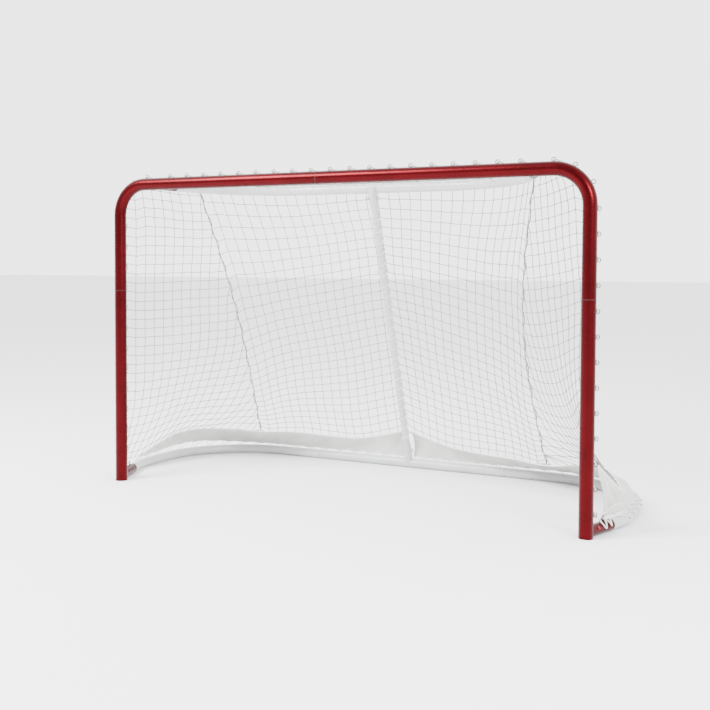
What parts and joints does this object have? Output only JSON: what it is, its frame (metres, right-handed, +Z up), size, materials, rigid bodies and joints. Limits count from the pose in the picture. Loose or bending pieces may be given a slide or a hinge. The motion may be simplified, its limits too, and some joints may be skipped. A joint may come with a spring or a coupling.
{
  "type": "hockey goal net",
  "caption": "Street and ice hockey goal: round steel tube frame with curved base, leaning centre pole, laced twine netting on wire eyelets, and snap-button tube joints.",
  "frame": {"origin": "on the floor under the middle of the goal's outline", "axes": "+X to the right seen from the shooter, +Y into the goal towards its back, +Z up"},
  "size_m": [2.082, 0.8364, 1.2344],
  "materials": {
    "red_frame": "gloss candy red powder coat",
    "white_frame": "gloss white powder coat",
    "eyelet_steel": "steel wire, partly painted over",
    "net_twine": "white knotted nylon twine",
    "skirt_fabric": "pale grey-white woven nylon",
    "lacing_cord": "white braided nylon cord",
    "red_button": "red gloss",
    "spring_steel": "spring steel",
    "zinc_hardware": "bright zinc",
    "black_plug": "matte black"
  },
  "bodies": {
    "goal_frame": {"left_lower_post": "red_frame", "left_corner_tube": "red_frame", "left_base_tube": "white_frame", "eyelets_left_post": "eyelet_steel", "eyelets_left_corner": "eyelet_steel", "lace_left_post": "lacing_cord", "lace_left_base": "lacing_cord", "net_left_side": "net_twine", "skirt_left": "skirt_fabric", "right_lower_post": "red_frame", "right_corner_tube": "red_frame", "right_base_tube": "white_frame", "eyelets_right_post": "eyelet_steel", "eyelets_right_corner": "eyelet_steel", "lace_right_post": "lacing_cord", "lace_right_base": "lacing_cord", "net_right_side": "net_twine", "skirt_right": "skirt_fabric", "base_centre_tube": "white_frame", "shelf_hoop": "white_frame", "centre_pole": "white_frame", "pole_bolts": "zinc_hardware", "pole_nuts": "zinc_hardware", "post_foot_plugs": "black_plug", "eyelets_crossbar": "eyelet_steel", "lace_crossbar": "lacing_cord", "lace_pole": "lacing_cord", "net_back": "net_twine", "net_top": "net_twine", "clip_left_post": "spring_steel", "clip_left_base": "spring_steel", "clip_left_stub": "spring_steel", "clip_left_shelf": "spring_steel", "clip_right_post": "spring_steel", "clip_right_base": "spring_steel", "clip_right_stub": "spring_steel", "clip_right_shelf": "spring_steel", "clip_crossbar": "spring_steel"},
    "snap_left_post": {"button_left_post": "red_button"},
    "snap_left_base": {"button_left_base": "red_button"},
    "snap_left_stub": {"button_left_stub": "red_button"},
    "snap_left_shelf": {"button_left_shelf": "red_button"},
    "snap_right_post": {"button_right_post": "red_button"},
    "snap_right_base": {"button_right_base": "red_button"},
    "snap_right_stub": {"button_right_stub": "red_button"},
    "snap_right_shelf": {"button_right_shelf": "red_button"},
    "snap_crossbar": {"button_crossbar": "red_button"}
  },
  "joints": [
    {"name": "press_left_post", "type": "slide", "parent": "goal_frame", "child": "snap_left_post", "axis": [0, -1, 0], "range_m": [0, 0.006], "stiffness_N_per_m": 600, "springref_m": -0.003, "deforming": ["clip_left_post"]},
    {"name": "press_left_base", "type": "slide", "parent": "goal_frame", "child": "snap_left_base", "axis": [0, -1, 0], "range_m": [0, 0.006], "stiffness_N_per_m": 600, "springref_m": -0.003, "deforming": ["clip_left_base"]},
    {"name": "press_left_stub", "type": "slide", "parent": "goal_frame", "child": "snap_left_stub", "axis": [0.8517, 0.31, -0.4226], "range_m": [0, 0.006], "stiffness_N_per_m": 600, "springref_m": -0.003, "deforming": ["clip_left_stub"]},
    {"name": "press_left_shelf", "type": "slide", "parent": "goal_frame", "child": "snap_left_shelf", "axis": [-0.0112, -0.025, -0.9996], "range_m": [0, 0.006], "stiffness_N_per_m": 600, "springref_m": -0.003, "deforming": ["clip_left_shelf"]},
    {"name": "press_right_post", "type": "slide", "parent": "goal_frame", "child": "snap_right_post", "axis": [0, -1, 0], "range_m": [0, 0.006], "stiffness_N_per_m": 600, "springref_m": -0.003, "deforming": ["clip_right_post"]},
    {"name": "press_right_base", "type": "slide", "parent": "goal_frame", "child": "snap_right_base", "axis": [0, -1, 0], "range_m": [0, 0.006], "stiffness_N_per_m": 600, "springref_m": -0.003, "deforming": ["clip_right_base"]},
    {"name": "press_right_stub", "type": "slide", "parent": "goal_frame", "child": "snap_right_stub", "axis": [-0.8517, 0.31, -0.4226], "range_m": [0, 0.006], "stiffness_N_per_m": 600, "springref_m": -0.003, "deforming": ["clip_right_stub"]},
    {"name": "press_right_shelf", "type": "slide", "parent": "goal_frame", "child": "snap_right_shelf", "axis": [0.0112, -0.025, -0.9996], "range_m": [0, 0.006], "stiffness_N_per_m": 600, "springref_m": -0.003, "deforming": ["clip_right_shelf"]},
    {"name": "press_crossbar", "type": "slide", "parent": "goal_frame", "child": "snap_crossbar", "axis": [0, -1, 0], "range_m": [0, 0.006], "stiffness_N_per_m": 600, "springref_m": -0.003, "deforming": ["clip_crossbar"]}
  ]
}
